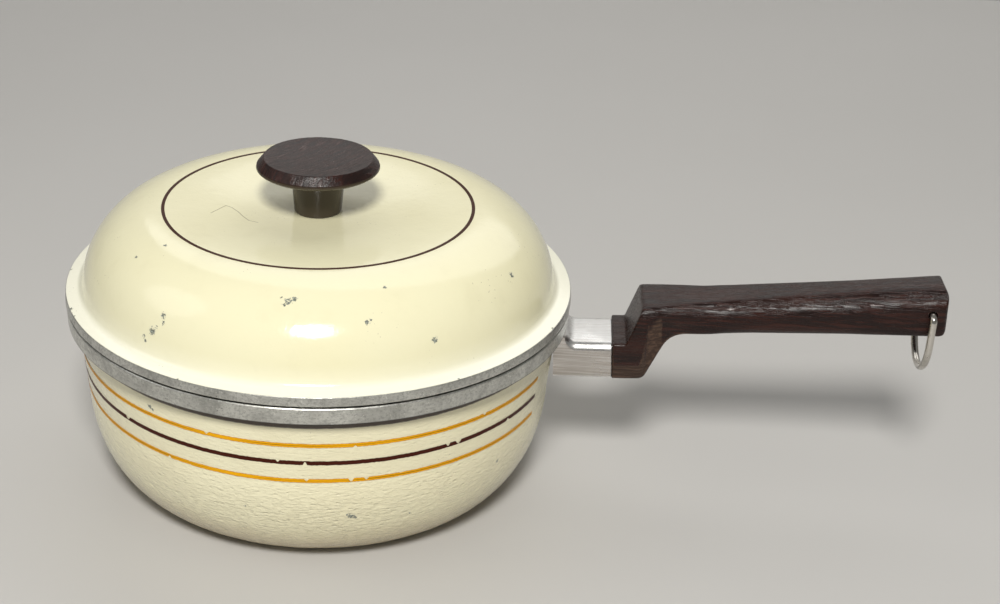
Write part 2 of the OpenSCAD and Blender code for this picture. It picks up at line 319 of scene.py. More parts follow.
class Net:
    """A short way to write one material's nodes."""

    def __init__(self, name, **fixed):
        self.material = bpy.data.materials.new(name)
        self.material.use_nodes = True
        self.tree = self.material.node_tree
        self.shader = self.tree.nodes["Principled BSDF"]
        self.place = self.add("ShaderNodeTexCoord").outputs["Object"]
        self.fill(self.shader, **fixed)

    def add(self, kind, **settings):
        node = self.tree.nodes.new(kind)
        for key, value in settings.items():
            setattr(node, key, value)
        return node

    def join(self, source, socket):
        """Links an output to a socket, or sets the socket to a number or a colour."""
        if isinstance(source, (int, float)):
            socket.default_value = source
        elif isinstance(source, tuple):
            socket.default_value = source + (1,) * (len(socket.default_value) - len(source))
        else:
            self.tree.links.new(source, socket)

    def fill(self, node, **sources):
        """Joins each named socket of a node, with _ for a space in its name."""
        for key, source in sources.items():
            if source is not None:
                self.join(source, node.inputs[key.replace("_", " ")])

    def vector(self, operation, a, b, output="Vector"):
        node = self.add("ShaderNodeVectorMath", operation=operation)
        self.join(a, node.inputs[0])
        self.join(b, node.inputs[1])
        return node.outputs[output]

    def scaled(self, x, y, z, source=None):
        return self.vector("MULTIPLY", source or self.place, (x, y, z))

    def noise(self, scale, detail=3, rough=0.5, source=None, twist=0.0):
        node = self.add("ShaderNodeTexNoise")
        self.fill(node, Scale=scale, Detail=detail, Roughness=rough, Distortion=twist,
                  Vector=source or self.place)
        return node.outputs[0]

    def cells(self, scale, source=None):
        node = self.add("ShaderNodeTexVoronoi")
        self.fill(node, Scale=scale, Vector=source or self.place)
        return node.outputs["Distance"]

    def math(self, operation, a, b=0.0, clamp=False):
        node = self.add("ShaderNodeMath", operation=operation, use_clamp=clamp)
        self.join(a, node.inputs[0])
        self.join(b, node.inputs[1])
        return node.outputs[0]

    def plus(self, a, b):
        return self.math("ADD", a, b)

    def less(self, a, b):
        return self.math("SUBTRACT", a, b)

    def times(self, a, b):
        return self.math("MULTIPLY", a, b)

    def step(self, value, low, high, out_low=0.0, out_high=1.0):
        """A smooth change from out_low to out_high as value goes from low to high."""
        node = self.add("ShaderNodeMapRange", interpolation_type="SMOOTHSTEP")
        self.fill(node, Value=value, From_Min=low, From_Max=high, To_Min=out_low, To_Max=out_high)
        return node.outputs["Result"]

    def patch(self, scale, detail, rough, low, high, out_low=0.0, out_high=1.0):
        """The same change over patches of noise."""
        return self.step(self.noise(scale, detail, rough), low, high, out_low, out_high)

    def blend(self, factor, a, b):
        node = self.add("ShaderNodeMix", data_type="RGBA")
        self.fill(node, Factor=factor, A=a, B=b)
        return node.outputs["Result"]

    def split(self, source=None):
        node = self.add("ShaderNodeSeparateXYZ")
        self.join(source or self.place, node.inputs[0])
        return node.outputs[0], node.outputs[1], node.outputs[2]

    def joined(self, x, y, z):
        node = self.add("ShaderNodeCombineXYZ")
        for source, socket in zip((x, y, z), node.inputs):
            self.join(source, socket)
        return node.outputs[0]

    def around(self):
        """Radius in metres, turn in radians, and height in metres, about Z."""
        x, y, z = self.split()
        radius = self.math("SQRT", self.plus(self.times(x, x), self.times(y, y)))
        return radius, self.math("ARCTAN2", y, x), z

    def bump(self, height, strength, distance, under=None):
        node = self.add("ShaderNodeBump")
        self.fill(node, Strength=strength, Distance=distance, Height=height, Normal=under)
        return node.outputs["Normal"]

    def near(self, spots):
        """1 inside small ragged spots at (x, y, z, size) in millimetres, 0 elsewhere."""
        wobble = self.noise(1300, 3, 0.6)
        found = 0.0
        for x, y, z, size in spots:
            away = self.vector("DISTANCE", self.place, (x * MM, y * MM, z * MM), "Value")
            away = self.plus(away, self.times(self.less(wobble, 0.5), size * MM * 3.2))
            spot = self.step(away, size * MM * 0.85, size * MM * 1.05, 1.0, 0.0)
            found = self.math("MAXIMUM", found, spot)
        return found

    def trace(self, path, half):
        """1 on a thin line through points in millimetres, 0 more than half its width away."""
        found = 0.0
        for start, end in zip(path, path[1:]):
            way = (Vector(end) - Vector(start)) * MM
            off = self.vector("SUBTRACT", self.place, tuple(Vector(start) * MM))
            share = self.vector("DOT_PRODUCT", off, tuple(way / way.length_squared), "Value")
            share = self.math("ADD", share, 0.0, True)
            foot = self.vector("MULTIPLY", tuple(way), self.joined(share, share, share))
            away = self.vector("DISTANCE", off, foot, "Value")
            line = self.step(away, half * MM * 0.4, half * MM, 1.0, 0.0)
            found = self.math("MAXIMUM", found, line)
        return found

    def lean(self):
        """How far the surface faces along X, Y and Z, from -1 to 1."""
        return self.split(self.add("ShaderNodeTexCoord").outputs["Normal"])

    def finish(self, color, roughness, normal=None, metallic=None):
        self.fill(self.shader, Base_Color=color, Roughness=roughness, Normal=normal, Metallic=metallic)
        return self.material


def on_dome(turn, radius, height):
    """A place on the lid, from its turn in degrees, its radius and its height."""
    a = math.radians(turn)
    return radius * math.cos(a), radius * math.sin(a), height


def dome_height(radius):
    """Height of the lid's cream coat at a radius."""
    if radius < CREST_R:
        return dish_height(radius)
    part = min(1.0, (radius - CREST_R) / DOME_RUN)
    return DOME_FOOT_Z + (CREST_Z - DOME_FOOT_Z) * math.sqrt(max(0.0, 1 - part * part))


def dish_height(radius):
    """Height of the dished top inside the crest."""
    if radius < SEAT_R:
        return SEAT_Z
    return SEAT_Z + DISH_D * (1 - math.cos(math.pi * (radius - SEAT_R) / (CREST_R - SEAT_R))) / 2


# Chips in the lid's coat: turn in degrees, radius and size in millimetres
LID_CHIPS = [(-89.7, 95.2, 1.5), (-88.2, 94.2, 1.1), (-90.6, 96.6, 0.9), (-91.6, 93.8, 0.6),
             (-120.8, 107.6, 1.3), (-120.2, 109, 0.8), (-122.7, 111.1, 1.6), (-121.9, 110.2, 0.8),
             (-125.1, 112.2, 0.9), (-124.4, 112.6, 0.7), (-70.4, 103.3, 1.0), (-69.5, 102.6, 0.6),
             (-54.9, 110, 1.2), (-63.5, 90.5, 0.8), (-24.3, 102.8, 1.1), (-137.9, 83.2, 0.8),
             (-141.2, 95.5, 0.7), (-83.4, 105.5, 0.9), (60, 95, 1.2), (118, 100, 1.4), (120, 98.6, 0.8),
             (160, 106, 1.1), (25, 101, 0.8), (95, 88, 0.8)]
# A fine scratch across the dished top: turn in degrees and radius
LID_SCRATCH = [(-162.5, 51.1), (-170.1, 46.1), (-174.5, 43.9), (-172.1, 41.0), (-165.5, 38.2),
               (-155.0, 36.4), (-147.6, 35.5), (-141.5, 32.6)]
# Nicks along the flange's edge: turn in degrees and size
EDGE_NICKS = [(-154.2, 0.9), (-175.1, 0.7), (-150.5, 0.6), (-112, 0.5), (-52, 0.5), (-20, 0.7), (35, 0.7),
              (80, 0.9), (130, 0.6)]
# Chips in the bowl's coat: turn in degrees, height and size
BOWL_CHIPS = [(-122.4, 74.8, 1.1), (-121.6, 73.9, 0.7), (-74.4, 31.4, 1.4), (-75.1, 32.4, 0.9),
              (-73.6, 30.6, 0.8), (-99, 35, 0.5), (-60, 28, 0.6), (-35, 40, 0.8), (-120, 15, 0.8),
              (60, 33, 1.3), (100, 57, 1.0), (150, 24, 1.4), (175, 63, 0.8)]


def bowl_radius(height):
    """Radius of the bowl's coat at a height."""
    if height > BOWL_Z:
        return WALL_LOW_R + WALL_LEAN * (height - BOWL_Z) / (BAND_Z - BOWL_Z)
    part = min(1.0, (BOWL_Z - height) / (BOWL_Z - FOOT_Z))
    return FOOT_R + (WALL_LOW_R - FOOT_R) * math.sqrt(max(0.0, 1 - part * part))


def faded(color, share):
    """The same colour, darker or lighter by a share."""
    return tuple(min(1.0, c * share) for c in color)


def chipped(net, color, spots):
    """The colour with chips down to grey metal, each with a pale rim, and the chips' own mask."""
    chip = net.times(net.near(spots), net.patch(900, 2, 0.5, 0.38, 0.46))
    rim = net.near([(x, y, z, size * 1.35) for x, y, z, size in spots])
    metal = net.patch(1500, 3, 0.6, 0.35, 0.65)
    metal = net.blend(metal, (0.09, 0.105, 0.085), (0.36, 0.39, 0.33))
    color = net.blend(net.times(rim, 0.3), color, (0.80, 0.78, 0.62))
    return net.blend(chip, color, metal), chip


def casting(net, cast, normal):
    """The rough casting under the enamel, stronger towards the foot."""
    low = net.step(net.split()[2], 0.016, 0.060, 1.0, 0.22)
    lumps = net.step(net.noise(1.0, 4, 0.62, net.scaled(300, 300, 800)), 0.40, 0.66)
    holes = net.step(net.cells(1.0, net.scaled(210, 210, 420)), 0.10, 0.30)
    skin = net.plus(net.times(lumps, 0.6), net.times(holes, 0.7))
    return net.bump(net.times(skin, low), cast, 0.0007, normal)


def enamel(name, cream, warm, spots, gloss, peel, cast=0.0, scratch=(), pale=None, shade_edge=None):
    """Baked enamel: warm drift in the colour, orange peel, pinholes, a scratch and chips.
    cast is how strongly the rough casting shows through towards the foot; with it the coat is painted darker
    and browner towards the foot, a painted shade and brown reflection.
    It is painted paler outside the radius pale, a painted reflection on the flange, and painted dark above
    the height shade_edge, a painted shade under the rim band, both in metres."""
    net = Net(name, IOR=1.5, Coat_Weight=0.3, Coat_Roughness=0.08)
    drift = net.patch(7, 3, 0.55, 0.35, 0.7)
    color = net.blend(net.times(drift, 0.6), cream, warm)
    cloud = net.patch(55, 4, 0.6, 0.52, 0.78, 0.0, 0.22)
    color = net.blend(cloud, color, faded(warm, 0.84))
    # painted reflection: the coat paler on the flange, outside the radius pale
    if pale is not None:
        outside = net.step(net.around()[0], pale - 0.003, pale + 0.002)
        color = net.blend(outside, color, (0.95, 0.94, 0.80))
    if cast:
        # painted shade and brown reflection: the coat darker and browner towards the foot
        foot_level = net.plus(net.split()[2], net.times(net.noise(30, 3, 0.6), 0.012))
        color = net.blend(net.step(foot_level, 0.012, 0.034, 0.75, 0.0), color, (0.60, 0.50, 0.33))
    speck = net.step(net.cells(520), 0.08, 0.15, 0.7, 0.0)
    speck = net.times(speck, net.patch(45, 2, 0.5, 0.60, 0.68))
    color = net.blend(speck, color, (0.36, 0.32, 0.22))
    color, chip = chipped(net, color, spots)
    # painted shade: the coat dark brown just under the rim band
    if shade_edge is not None:
        level = net.plus(net.split()[2], net.times(net.noise(220, 3, 0.6), 0.0006))
        color = net.blend(net.step(level, shade_edge, shade_edge + 0.0008), color, (0.055, 0.036, 0.022))
    rough = net.patch(35, 4, 0.6, 0.3, 0.75, gloss, gloss + 0.10)
    rough = net.plus(rough, net.times(chip, 0.3))
    normal = net.bump(net.noise(300, 3, 0.55), 0.10, 0.0006)
    normal = net.bump(net.noise(1050, 2, 0.5), peel, 0.00025, normal)
    if cast:
        normal = casting(net, cast, normal)
    if scratch:
        line = net.trace(scratch, 0.32)
        color = net.blend(net.times(line, 0.75), color, (0.30, 0.26, 0.16))
        normal = net.bump(net.less(1.0, line), 0.5, 0.0002, normal)
    normal = net.bump(net.less(1.0, chip), 0.8, 0.0003, normal)
    return net.finish(color, rough, normal)


def cast_metal(name, light, dark, stretch, shade_edge=None):
    """Bare turned aluminium, dulled by use: streaks round the axis, grey mottle, nicks and rubbed spots.
    Below the height shade_edge, in metres, the metal is painted dark, duller and less metallic: a painted
    shade along the band's lower edge and in the groove under it."""
    net = Net(name)
    radius, turn, height = net.around()
    along = net.joined(net.times(radius, 1400), net.times(turn, stretch), net.times(height, 1400))
    streak = net.noise(1.0, 4, 0.65, along)
    stain = net.step(net.noise(60, 5, 0.65, None, 0.6), 0.36, 0.68)
    color = net.blend(net.times(stain, 0.75), light, dark)
    mottle = net.patch(780, 4, 0.7, 0.46, 0.70, 0.0, 0.6)
    color = net.blend(mottle, color, faded(dark, 0.72))
    color = net.blend(net.step(streak, 0.42, 0.75, 0.0, 0.35), color, faded(dark, 0.7))
    rub = net.patch(420, 3, 0.7, 0.60, 0.70, 0.0, 0.55)
    color = net.blend(rub, color, faded(light, 1.3))
    scar = net.step(net.cells(1.0, net.scaled(300, 300, 520)), 0.06, 0.14, 0.9, 0.0)
    scar = net.times(scar, net.patch(70, 2, 0.5, 0.54, 0.60))
    color = net.blend(scar, color, (0.10, 0.095, 0.085))
    rough = net.step(streak, 0.3, 0.75, 0.30, 0.50)
    metallic = 1.0
    # painted shade: dark along the band's lower edge and in the groove under it
    if shade_edge is not None:
        under_shade = net.step(height, shade_edge - 0.0002, shade_edge + 0.0003, 1.0, 0.0)
        color = net.blend(under_shade, color, (0.040, 0.028, 0.020))
        rough = net.plus(rough, net.times(under_shade, 0.3))
        metallic = net.less(1.0, net.times(under_shade, 0.9))
    normal = net.bump(streak, 0.22, 0.0002)
    normal = net.bump(net.noise(600, 3, 0.6), 0.14, 0.0004, normal)
    normal = net.bump(net.less(1.0, scar), 0.5, 0.0003, normal)
    return net.finish(color, rough, normal, metallic)


def paint(name, face, edge, middle, width, core=0.0):
    """A sprayed line: full colour, thinner and darker at its edges and, by core, down its middle."""
    net = Net(name, IOR=1.4, Specular_IOR_Level=0.15)
    off = net.math("ABSOLUTE", net.less(net.split()[2], middle * MM))
    off = net.plus(off, net.times(net.less(net.noise(500, 3), 0.5), 0.0003))
    side = net.step(off, width * MM * 0.34, width * MM * 0.5)
    color = net.blend(side, face, edge)
    if core:
        thin = net.step(off, 0.00014, 0.00042, core, 0.0)
        thin = net.times(thin, net.step(net.noise(16), 0.35, 0.6))
        color = net.blend(thin, color, faded(edge, 0.5))
    cloud = net.patch(140, 4, 0.6, 0.42, 0.75, 0.0, 0.3)
    color = net.blend(cloud, color, faded(face, 0.7))
    rough = net.patch(90, 3, 0.6, 0.3, 0.7, 0.28, 0.42)
    return net.finish(color, rough, net.bump(net.noise(800, 3, 0.55), 0.15, 0.0003))


def leaning_flank(net, matte_to):
    """1 on the flanks that lean under, nearer the pan than matte_to in metres, 0 elsewhere."""
    _, across, lean = net.lean()
    across = net.math("ABSOLUTE", across)
    flank = net.times(net.step(across, 0.955, 0.98, 1.0, 0.0), net.step(across, 0.62, 0.78))
    flank = net.times(flank, net.step(lean, -0.10, 0.0, 1.0, 0.0))
    return net.times(flank, net.step(net.split()[0], matte_to - 0.018, matte_to, 1.0, 0.0))


def phenolic(name, along, gloss, depth, shine, turn=0.0, smooth_below=None, matte_to=None):
    """Moulded phenolic with a pressed wood grain: black-brown, fine lines and a speckled satin gloss.
    Below smooth_below it is plain and painted a lighter olive brown: a painted reflection of the cream lid.
    The flanks that lean under, nearer the pan than matte_to, are matte and painted a lighter brown: a
    painted reflection of the ground below. Both are in metres."""
    net = Net(name, IOR=1.45, Specular_IOR_Level=shine)
    place = net.add("ShaderNodeVectorRotate", rotation_type="Z_AXIS")
    place.inputs["Angle"].default_value = math.radians(turn)
    net.join(net.place, place.inputs["Vector"])
    x, y, z = along
    fibre = net.noise(1.0, 5, 0.68, net.scaled(x, y, z, place.outputs[0]), 0.3)
    broad = net.noise(1.0, 3, 0.5, net.scaled(x * 0.2, y * 0.2, z * 0.2, place.outputs[0]), 0.8)
    grit = net.noise(1200, 2, 0.6)
    line = net.step(fibre, 0.45, 0.62)
    color = net.blend(line, (0.0085, 0.0020, 0.0013), (0.031, 0.0078, 0.0048))
    color = net.blend(net.step(broad, 0.42, 0.72, 0.0, 0.5), color, (0.040, 0.0125, 0.008))
    worn = net.patch(260, 4, 0.7, 0.66, 0.76, 0.0, 0.15)
    color = net.blend(worn, color, (0.075, 0.045, 0.034))
    rough = net.step(fibre, 0.3, 0.75, gloss + 0.14, gloss)
    if smooth_below is not None:
        grainy = net.step(net.split()[2], smooth_below - 0.0006, smooth_below + 0.0006)
        rough = net.plus(0.24, net.times(grainy, net.less(rough, 0.24)))
        # painted reflection: the plain stem painted a lighter olive brown, for the cream lid seen in it
        plain = net.blend(net.noise(60, 3, 0.5), (0.040, 0.030, 0.019), (0.062, 0.047, 0.030))
        color = net.blend(grainy, plain, color)
        line = net.times(line, grainy)
        grit = net.times(grit, grainy)
    if matte_to is not None:
        # painted reflection: the flanks that face down painted a lighter brown
        flank = leaning_flank(net, matte_to)
        color = net.blend(flank, color, net.blend(line, (0.042, 0.022, 0.014), (0.098, 0.056, 0.037)))
        rough = net.plus(rough, net.times(flank, 0.22))
    normal = net.bump(line, depth * 0.7, 0.00022)
    normal = net.bump(grit, depth, 0.00020, normal)
    return net.finish(color, rough, normal)


def bright_metal(name, tint, rough_low, rough_high, along, stain=0.35, streaks=0.25, side=None):
    """Polished or plated metal with fine wiping marks one way and a light film.
    Faces that stand upright are painted darker towards the colour side, streaked along the wiping marks: a
    painted shade and dark reflection."""
    net = Net(name, Metallic=1.0)
    wipe = net.noise(1.0, 4, 0.65, net.scaled(*along))
    film = net.patch(70, 4, 0.6, 0.38, 0.72)
    color = net.blend(net.times(film, stain), tint, faded(tint, 0.55))
    streak = (tint[0] * 0.62, tint[1] * 0.58, tint[2] * 0.55)
    color = net.blend(net.step(wipe, 0.42, 0.72, 0.0, streaks), color, streak)
    # painted shade: upright faces painted darker than the faces that look up
    if side is not None:
        lean = net.lean()[2]
        upright = net.times(net.step(lean, 0.18, 0.5, 1.0, 0.0), net.step(lean, -0.75, -0.4))
        shade_share = net.plus(0.55, net.times(net.step(wipe, 0.35, 0.62), 0.4))
        color = net.blend(net.times(upright, shade_share), color, side)
    wear = net.plus(net.times(wipe, 0.6), net.times(film, 0.4))
    rough = net.step(wear, 0.3, 0.75, rough_low, rough_high)
    normal = net.bump(wipe, 0.14, 0.00015)
    normal = net.bump(net.noise(260, 3, 0.6), 0.10, 0.0004, normal)
    return net.finish(color, rough, normal)


lid_spots = [(*on_dome(t, r, dome_height(r)), s) for t, r, s in LID_CHIPS]
lid_spots += [(*on_dome(t, FLANGE_R - 0.3, FLANGE_Z), s) for t, s in EDGE_NICKS]
bowl_spots = [(*on_dome(t, bowl_radius(h), h), s) for t, h, s in BOWL_CHIPS]
lid_scratch = [on_dome(t, r, dish_height(r)) for t, r in LID_SCRATCH]
# The lid's coat is painted paler on its flange: a painted reflection.
LID_CREAM = enamel("lid_cream_enamel", (0.85, 0.815, 0.57), (0.83, 0.78, 0.51), lid_spots, 0.10, 0.16,
                   scratch=lid_scratch, pale=(FLANGE_R - 6.5) * MM)
# The bowl's coat is painted darker and browner towards its foot, a painted shade and brown reflection, and
# dark just under the rim band, a painted shade.
BOWL_CREAM = enamel("bowl_cream_enamel", (0.91, 0.865, 0.62), (0.86, 0.79, 0.54), bowl_spots, 0.17, 0.2,
                    cast=0.9, shade_edge=(BAND_Z - 4.8) * MM)
# The rim's metal is painted dark along the band's lower edge and in its groove: a painted shade.
RIM_METAL = cast_metal("worn_rim_aluminium", (0.69, 0.69, 0.645), (0.37, 0.37, 0.345), 60,
                       shade_edge=(BAND_Z + 0.4) * MM)
INSIDE_METAL = cast_metal("turned_inner_aluminium", (0.62, 0.62, 0.61), (0.46, 0.455, 0.44), 5)
# The bracket's upright faces are painted darker: a painted shade.
POLISHED = bright_metal("polished_bracket_aluminium", (0.90, 0.90, 0.89), 0.27, 0.40, (22, 1100, 1100),
                        0.3, 0.6, side=(0.46, 0.42, 0.385))
NICKEL = bright_metal("nickel_plated_wire", (0.66, 0.63, 0.58), 0.16, 0.36, (500, 500, 500), 0.6)
STEEL = bright_metal("zinc_plated_steel", (0.55, 0.56, 0.57), 0.25, 0.42, (900, 900, 900), 0.5)
BRASS = bright_metal("insert_brass_metal", (0.72, 0.50, 0.20), 0.22, 0.40, (700, 700, 700), 0.4)
# The handle's flanks that lean under are painted a lighter brown: a painted reflection.
HANDLE_GRAIN = phenolic("handle_wood_grain_phenolic", (60, 900, 900), 0.17, 0.62, 0.38, matte_to=0.190)
# The knob's plain stem is painted a lighter olive brown: a painted reflection of the lid.
KNOB_GRAIN = phenolic("knob_wood_grain_phenolic", (110, 620, 220), 0.26, 0.45, 0.5, KNOB_GRAIN_TURN,
                      smooth_below=(SEAT_Z + KNOB_H - 4.4) * MM)

# ---------------- lid


def lid_top(inset):
    """The lid's upper side, from the flange's edge in to the seat, moved in by inset."""
    ledge_r = FLANGE_R - 4.3
    points = [(FLANGE_R, FLANGE_Z - inset)]
    points += [(ledge_r, FLANGE_Z + 0.8 - inset)]
    points += arc(ledge_r, FLANGE_Z + 4.2, 3.2 + inset, 3.4 + inset, -105, -163, 10)
    points += arc(CREST_R, DOME_FOOT_Z, DOME_RUN - inset, CREST_Z - DOME_FOOT_Z - inset, 9.5, 90, 46)
    dish = np.linspace(CREST_R, SEAT_R, 40)[1:]
    points += [(r, dish_height(r) - inset) for r in dish]
    return points


def build_lid_coat():
    """The cream coat on the lid's upper side."""
    outer = spaced(lid_top(0.0), 1.6)
    inner = spaced(lid_top(COAT_T), 4.0)
    outline = outer + [(2.4, SEAT_Z)] + [(2.4, SEAT_Z - COAT_T)] + inner[::-1]

    def relief(p):
        return fractal(p, 26, 2, 3) * 0.035 + fractal(p, 3.2, 2, 11) * 0.010 - 0.03

    lathe("lid_enamel_coat", outline, 480, "lid", ["lid_enamel"], "lid_enamel", LID_CREAM, relief=relief)


def build_lid_edge():
    """The bare turned edge under the lid's flange."""
    edge = fillet([(FLANGE_R - 6, PAN_H + 0.5), (EDGE_R - 1.1, PAN_H + 0.45), (EDGE_R - 0.03, PAN_H + 1.2),
                   (FLANGE_R + 0.25, FLANGE_Z - 0.15), (FLANGE_R - 0.4, FLANGE_Z - 0.28),
                   (FLANGE_R - 6, FLANGE_Z + 0.1)], [0, 0.5, 0.7, 0.4, 0.2, 0], 5)

    def dents(p):
        return fractal(p, 9, 3, 21) * 0.05 - pits(p, 4.2, 0.22, 31) * 0.22

    lathe("lid_bare_edge", spaced(edge, 0.9, True), 540, "lid", ["lid_body"], "lid_aluminium", RIM_METAL,
          relief=dents)


def build_lid_inside():
    """The lid's casting under the coat, with the skirt that sits inside the pan."""
    under = lid_top(COAT_T + 0.02)[1:]
    inner = [(LID_BORE_R, SEAT_Z - COAT_T - LID_CAST_T)]
    inner += [(r, dish_height(r) - COAT_T - LID_CAST_T) for r in np.linspace(SEAT_R, CREST_R, 30)]
    inner += arc(CREST_R, DOME_FOOT_Z, 34.1, CREST_Z - DOME_FOOT_Z - COAT_T - LID_CAST_T, 87, 2, 30)
    skirt = fillet([(SKIRT_R - 2.3, 96.5), (SKIRT_R - 2.3, PAN_H - 3.5), (SKIRT_R - 0.2, PAN_H - 3.5),
                    (SKIRT_R, PAN_H - 2.5), (SKIRT_R + 0.1, PAN_H + 0.05), (FLANGE_R - 5.5, PAN_H + 0.05),
                    (FLANGE_R - 5.5, FLANGE_Z + 0.1)], [2, 0.7, 0.6, 0.4, 0.8, 0, 0], 5)
    outline = under + [(LID_BORE_R, SEAT_Z - COAT_T - 0.02)] + inner + skirt
    lathe("lid_inside", spaced(outline, 2.5, True), 360, "lid", ["lid_body"], "lid_aluminium", INSIDE_METAL)


def band_on(outer, inner_depth, proud):
    """A thin closed band lying on the points of an outline."""
    path = np.array(outer, float)
    way = np.gradient(path, axis=0)
    out = np.stack([-way[:, 1], way[:, 0]], 1)
    out /= np.linalg.norm(out, axis=1, keepdims=True)
    return [tuple(p) for p in path + out * proud] + [tuple(p) for p in (path - out * inner_depth)[::-1]]


BROWN_LINE = paint("brown_line_paint", (0.050, 0.014, 0.006), (0.07, 0.025, 0.013), CREST_Z, 30)


def build_lid_line():
    """The thin painted ring round the dish."""
    width = 1.5
    radii = np.linspace(LINE_R + 0.05, LINE_R - width - 0.05, 7)
    top = band_on([(r, dish_height(r)) for r in radii[::-1]], 0.1, 0.09)

    def worn(p):
        return noise(p, 6, 41) * 0.01

    lathe("lid_painted_line", top, 720, "lid", ["lid_line"], "brown_paint", BROWN_LINE, relief=worn)


# ---------------- knob


def build_knob():
    """The disc knob with its dished top, turned in one piece with its stem."""
    top, lip = KNOB_H - 0.12, 25.6
    dish = [(r, top - 2.28 * (1 - (r / lip) ** 2)) for r in np.linspace(lip - 2.6, 0, 26)]
    side = fillet([(0, 0), (11.3, 0), (12.4, KNOB_H - 12.2), (15.6, KNOB_H - 9.2), (21, KNOB_H - 8.0),
                   (KNOB_R - 1.8, KNOB_H - 6.6), (KNOB_R - 0.03, KNOB_H - 5.4), (KNOB_R - 0.4, KNOB_H - 4.0),
                   (lip + 0.1, top), dish[0]], [0, 1.3, 4, 4, 6, 1.6, 1.9, 1.4, 1.0, 0], 8)
    outline = spaced([(r, z + SEAT_Z) for r, z in side + dish[1:]], 0.7)
    turn = math.radians(KNOB_GRAIN_TURN)

    def grain(p):
        high = np.clip((p[:, 2] - SEAT_Z - (KNOB_H - 5.2)) / 1.2, 0, 1)
        q = np.stack([p[:, 0] * math.cos(turn) - p[:, 1] * math.sin(turn),
                      p[:, 0] * math.sin(turn) + p[:, 1] * math.cos(turn), p[:, 2]], 1)
        streak = fractal(q * np.array((0.15, 1, 0.3)), 1.5, 3, 51) * 0.12
        broad = noise(q * np.array((0.12, 1, 0.3)), 3.5, 57) * 0.08
        return -np.abs(streak + broad) * high

    lathe("knob_disc", outline, 420, "lid", ["knob"], "phenolic", KNOB_GRAIN, relief=grain)


# ---------------- pan


def bowl_side(inset, steps):
    """The bowl's outer side from its foot up to the rim band, moved in by inset."""
    points = arc(FOOT_R, BOWL_Z, WALL_LOW_R - FOOT_R - inset, BOWL_Z - FOOT_Z - inset, -80, 0, steps)
    return points + [(bowl_radius(GROOVE_Z) - inset, GROOVE_Z)]


def build_pan_coat():
    """The cream coat on the bowl's outside, rough from the casting towards its foot."""
    outer = spaced(bowl_side(0.0, 60), 1.0)
    inner = spaced(bowl_side(COAT_T, 24), 4.0)
    outline = outer + inner[::-1]

    def relief(p):
        low = np.clip((70 - p[:, 2]) / 50, 0, 1)
        wave = fractal(p, 30, 2, 61) * 0.05
        peel = fractal(p * np.array((1, 1, 1.6)), 4.2, 3, 67) * (0.035 + 0.11 * low)
        holes = pits(p * np.array((0.7, 0.7, 1.3)), 6.5, 0.30, 71) * (0.06 + 0.26 * low)
        return wave + peel - holes - 0.05

    lathe("pan_enamel_coat", outline, 700, "pan", ["pan_enamel"], "body_enamel", BOWL_CREAM, relief=relief)


PAN_GROOVE_R = WALL_TOP_R - 1.2
PAN_TOP_Z = PAN_H - 0.12


def build_rim_band():
    """The bare band round the rim, over the turned groove."""
    band = fillet([(PAN_GROOVE_R - 1.8, GROOVE_Z - 0.6), (PAN_GROOVE_R, GROOVE_Z - 0.6),
                   (PAN_GROOVE_R, BAND_Z - 0.05), (RIM_R - 0.35, BAND_Z - 0.1), (RIM_R - 0.05, BAND_Z + 0.2),
                   (RIM_TOP_R - 0.05, PAN_H - 0.6), (RIM_TOP_R - 0.6, PAN_TOP_Z),
                   (PAN_GROOVE_R - 1.8, PAN_TOP_Z)], [0, 0, 0.4, 0.2, 0.3, 0.4, 0.3, 0], 5)

    def dents(p):
        edge = np.clip(1 - np.abs(p[:, 2] - PAN_H) / 2.0, 0, 1)
        return fractal(p, 7, 3, 81) * 0.05 - pits(p, 3.6, 0.22, 83) * (0.10 + 0.25 * edge) - 0.03

    lathe("pan_rim_band", spaced(band, 0.9, True), 600, "pan", ["pan_body"], "cast_aluminium", RIM_METAL,
          relief=dents)


def build_vessel():
    """The casting under the coat: wall, floor and base pad."""
    outer = bowl_side(COAT_T + 0.02, 40)
    inner_r = WALL_TOP_R - COAT_T - WALL_T
    inside = [(PAN_GROOVE_R - 1.2, PAN_TOP_Z), (WALL_TOP_R - WALL_T + 0.7, PAN_TOP_Z),
              (WALL_TOP_R - WALL_T + 0.15, PAN_H - 0.7), (inner_r + 0.3, BAND_Z + 2)]
    bowl = arc(FOOT_R, BOWL_Z, WALL_LOW_R - FOOT_R - COAT_T - WALL_T, BOWL_Z - FLOOR_Z, 0, -90, 40)
    floor = [(r, FLOOR_Z) for r in np.linspace(FOOT_R - 2, 0, 30)]
    under = [(0, 0.0), (83.4, 0.0), (84.0, 0.5), (84.0, 2.2)]
    outline = outer + [(PAN_GROOVE_R - 1.2, GROOVE_Z - 0.1)] + inside + bowl + floor + under
    lathe("pan_vessel", spaced(outline, 2.0, True), 480, "pan", ["pan_body"], "cast_aluminium", INSIDE_METAL)


def build_boss():
    """The cast boss inside the bracket, which the handle screw bites into."""
    points, faces = skinned([bar_ring(u, 23.9, -6.2, 6.2, 0.8) for u in np.linspace(-3, 19.4, 10)])
    points = from_handle(points)
    finish_mesh("pan_handle_boss", points, faces, "pan", ["pan_body"], INSIDE_METAL)


